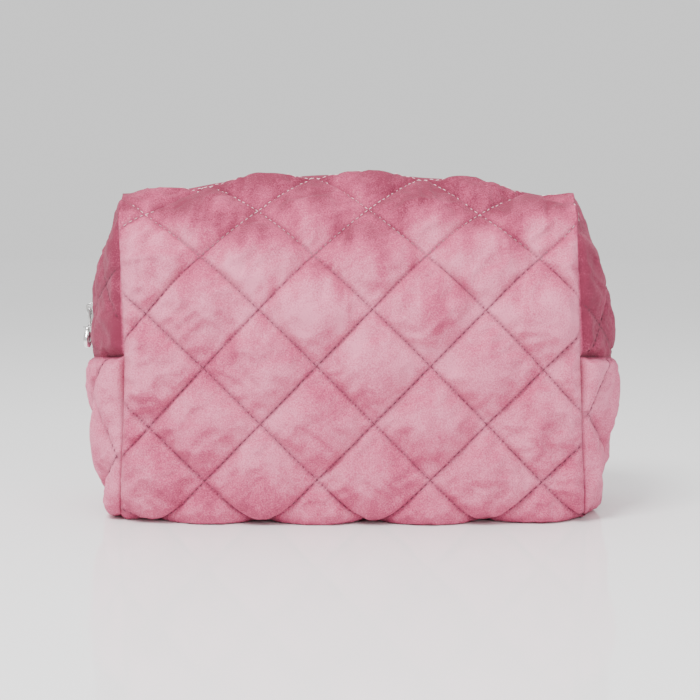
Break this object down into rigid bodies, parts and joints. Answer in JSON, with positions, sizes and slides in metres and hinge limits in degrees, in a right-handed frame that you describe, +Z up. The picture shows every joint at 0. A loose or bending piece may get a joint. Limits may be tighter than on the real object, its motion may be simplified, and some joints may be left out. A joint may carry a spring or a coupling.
{
  "type": "makeup bag",
  "caption": "Soft quilted velvet pouch with boxed ends and a curved zip closure; the two sides of the mouth fold open and the slider and its drop-shaped pull move.",
  "frame": {"origin": "middle of the bag's flat underside, on the surface it stands on", "axes": "+X towards the end away from the parked slider, along the length; +Y from the front face to the rear face; +Z up through the zip"},
  "size_m": [0.2746, 0.112, 0.171],
  "materials": {
    "velvet": "matte",
    "wadding": "matte",
    "lining": "satin",
    "zip_tape": "matte",
    "binding": "satin",
    "zip_coil": "gloss",
    "zip_metal": "polished"
  },
  "bodies": {
    "base": {"velvet_base": "velvet", "wadding_base": "wadding", "lining_base": "lining", "corner_bindings_base": "binding", "end_seam_bindings": "binding"},
    "front_mouth": {"velvet_front": "velvet", "wadding_front": "wadding", "lining_front": "lining", "zip_tape_front": "zip_tape", "zip_coil_front": "zip_coil", "top_stop_front": "zip_metal", "bottom_stop": "zip_metal", "corner_bindings_front": "binding"},
    "rear_mouth": {"velvet_rear": "velvet", "wadding_rear": "wadding", "lining_rear": "lining", "zip_tape_rear": "zip_tape", "zip_coil_rear": "zip_coil", "top_stop_rear": "zip_metal", "corner_bindings_rear": "binding"},
    "slider": {"slider_body": "zip_metal", "slider_bridge": "zip_metal"},
    "link": {"pull_link": "zip_metal", "link_pin": "zip_metal"},
    "pull": {"drop_pull": "zip_metal"}
  },
  "joints": [
    {"name": "front_mouth_open", "type": "hinge", "parent": "base", "child": "front_mouth", "pos_m": [0, -0.056, 0.02], "axis": [1, 0, 0], "range_deg": [0, 13]},
    {"name": "rear_mouth_open", "type": "hinge", "parent": "base", "child": "rear_mouth", "pos_m": [0, 0.056, 0.02], "axis": [-1, 0, 0], "range_deg": [0, 13]},
    {"name": "slider_travel", "type": "hinge", "parent": "base", "child": "slider", "pos_m": [-0.02145, 0, 0.09], "axis": [0, 1, 0], "range_deg": [0, 27]},
    {"name": "link_swing", "type": "hinge", "parent": "slider", "child": "link", "pos_m": [-0.13502, 0, 0.10193], "axis": [0, 1, 0], "range_deg": [0, 120]},
    {"name": "pull_swing", "type": "hinge", "parent": "link", "child": "pull", "pos_m": [-0.13502, 0, 0.09413], "axis": [0, 1, 0], "range_deg": [0, 60]}
  ]
}
